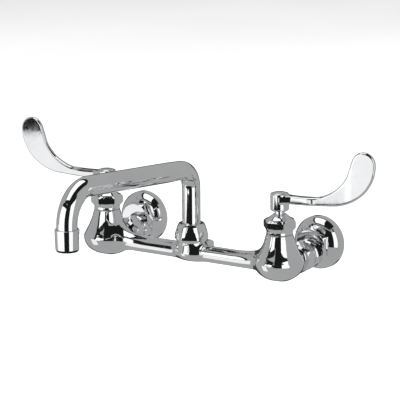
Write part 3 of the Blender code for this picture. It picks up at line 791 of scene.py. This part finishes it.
def place_camera():
    turn, rise, roll = (math.radians(v) for v in (CAMERA_TURN, CAMERA_RISE, CAMERA_ROLL))
    right = Vector((math.cos(turn), math.sin(turn), 0))
    up = Vector((-math.sin(turn) * math.sin(rise), math.cos(turn) * math.sin(rise), math.cos(rise)))
    ahead = up.cross(right)
    rolled_right = math.cos(roll) * right + math.sin(roll) * up
    rolled_up = -math.sin(roll) * right + math.cos(roll) * up
    camera = bpy.data.cameras.new("camera")
    camera.sensor_width = 36
    camera.lens = CAMERA_LENS
    camera.shift_x, camera.shift_y = CAMERA_SHIFT
    camera.clip_end = 50
    item = bpy.data.objects.new("camera", camera)
    item.matrix_world = (Matrix.Translation(CAMERA_TARGET - CAMERA_FAR * ahead)
                         @ Matrix((rolled_right, rolled_up, -ahead)).transposed().to_4x4())
    bpy.context.scene.collection.objects.link(item)
    bpy.context.scene.camera = item


TO_RIGHT = Vector((math.cos(math.radians(CAMERA_TURN)), math.sin(math.radians(CAMERA_TURN)), 0))
TO_CAMERA = Vector((math.sin(math.radians(CAMERA_TURN)), -math.cos(math.radians(CAMERA_TURN)), 0))


def card(name, corners, look, lights_floor=True):
    """A flat reflector: only what it reflects in the metal shows, never the card itself."""
    mesh = bpy.data.meshes.new(name)
    mesh.from_pydata([tuple(c) for c in corners], [], [(0, 1, 2, 3)])
    mesh.materials.append(look)
    item = bpy.data.objects.new(name, mesh)
    item.visible_camera = False
    item.visible_shadow = False
    item.visible_diffuse = lights_floor
    bpy.context.scene.collection.objects.link(item)


def upright(name, one, two, low, high, look, lights_floor=True):
    """A card standing between two (right, towards camera) places."""
    feet = [one[0] * TO_RIGHT + one[1] * TO_CAMERA, two[0] * TO_RIGHT + two[1] * TO_CAMERA]
    up = Vector((0, 0, 1))
    card(name, [feet[0] + low * up, feet[1] + low * up, feet[1] + high * up, feet[0] + high * up],
         look, lights_floor)


def level(name, low, high, height, look, lights_floor=True):
    """A card lying at a height, from its low corner to its high one."""
    card(name, [(low[0], low[1], height), (high[0], low[1], height), (high[0], high[1], height),
                (low[0], high[1], height)], look, lights_floor)


def glow(name, strength):
    material = bpy.data.materials.new(name)
    material.use_nodes = True
    nodes = material.node_tree.nodes
    nodes.remove(nodes["Principled BSDF"])
    light = nodes.new("ShaderNodeEmission")
    light.inputs["Strength"].default_value = strength
    material.node_tree.links.new(light.outputs[0], nodes["Material Output"].inputs["Surface"])
    return material


place_camera()
bpy.context.scene.view_settings.view_transform = "Standard"

ROOM_GREY = 0.43                 # what the metal reflects where no card stands
BACKDROP = 0.95                  # what the camera sees behind the floor
world = bpy.data.worlds.new("studio")
bpy.context.scene.world = world
world.use_nodes = True
background = world.node_tree.nodes["Background"]
path = world.node_tree.nodes.new("ShaderNodeLightPath")
tone = world.node_tree.nodes.new("ShaderNodeMapRange")
tone.inputs["To Min"].default_value = ROOM_GREY
tone.inputs["To Max"].default_value = BACKDROP
world.node_tree.links.new(path.outputs["Is Camera Ray"], tone.inputs["Value"])
world.node_tree.links.new(tone.outputs["Result"], background.inputs["Strength"])
background.inputs["Color"].default_value = (1, 1, 1, 1)

bright = glow("softbox_bright", 1.35)
soft = glow("softbox_soft", 1.06)
dark = glow("flag_black", 0.012)
upright("left_softbox", (-0.285, 0.505), (-0.51, 0.244), -0.10, 0.28, bright)
upright("right_softbox", (0.17, 1.00), (0.61, 0.71), -0.26, 0.62, bright)
level("overhead_softbox", (-0.48, -0.82), (0.14, 0.25), 0.9, bright)
upright("left_low_softbox", (-0.74, 0.46), (-0.93, 0.06), -0.70, -0.035, soft, False)
upright("far_left_softbox", (-0.585, 1.14), (-0.80, 0.60), -0.28, -0.02, soft, False)
# Black flags close the room behind the softboxes, so each has a dark frame.
upright("flag_over_left", (-0.24, 0.55), (-0.53, 0.22), 0.28, 0.36, dark, False)
arc = [(-0.86, 0.26), (-0.86, 0.50), (-0.60, 1.16), (0.0, 1.25), (0.30, 1.18), (0.70, 0.78)]
flag_tops = (0.62, 0.62, 1.25, 1.25, 1.25)
for k, (one, two) in enumerate(zip(arc, arc[1:])):
    upright("flag_%d" % k, one, two, -0.34, flag_tops[k], dark, False)
level("flag_overhead", (-0.64, -1.10), (0.75, 0.45), 0.93, dark, False)
# This one darkens the outlet's lower rim.
level("flag_under_outlet", (-0.10, -0.39), (0.12, -0.17), -0.01, dark, False)
# A dark flag straight behind the faucet draws a thin line along every outline.
rim = glow("flag_grey", 0.05)
upright("flag_behind", (-0.82, -1.05), (0.82, -1.05), -0.95, 0.35, rim, False)

FLOOR_Z = -0.30
bpy.ops.mesh.primitive_plane_add(size=30, location=(0, 0, FLOOR_Z))
floor = bpy.context.object
floor.name = "floor"
floor.visible_glossy = False
pale = Finish("pale_floor", 0.0)
pale.colours(pale.noise(3, 2), (0.86, 0.86, 0.86), (0.89, 0.89, 0.89))
pale.shader.inputs["Roughness"].default_value = 0.9
floor.data.materials.append(pale.material)


def lamp(name, place, size, power):
    light = bpy.data.lights.new(name, "AREA")
    light.size = size
    light.energy = power
    item = bpy.data.objects.new(name, light)
    item.location = place
    item.visible_glossy = False
    item.rotation_euler = (Vector((0, 0, 0)) - Vector(place)).to_track_quat("-Z", "Y").to_euler()
    bpy.context.scene.collection.objects.link(item)


lamp("floor_light", (0, 0, 4.0), 5.0, 320)
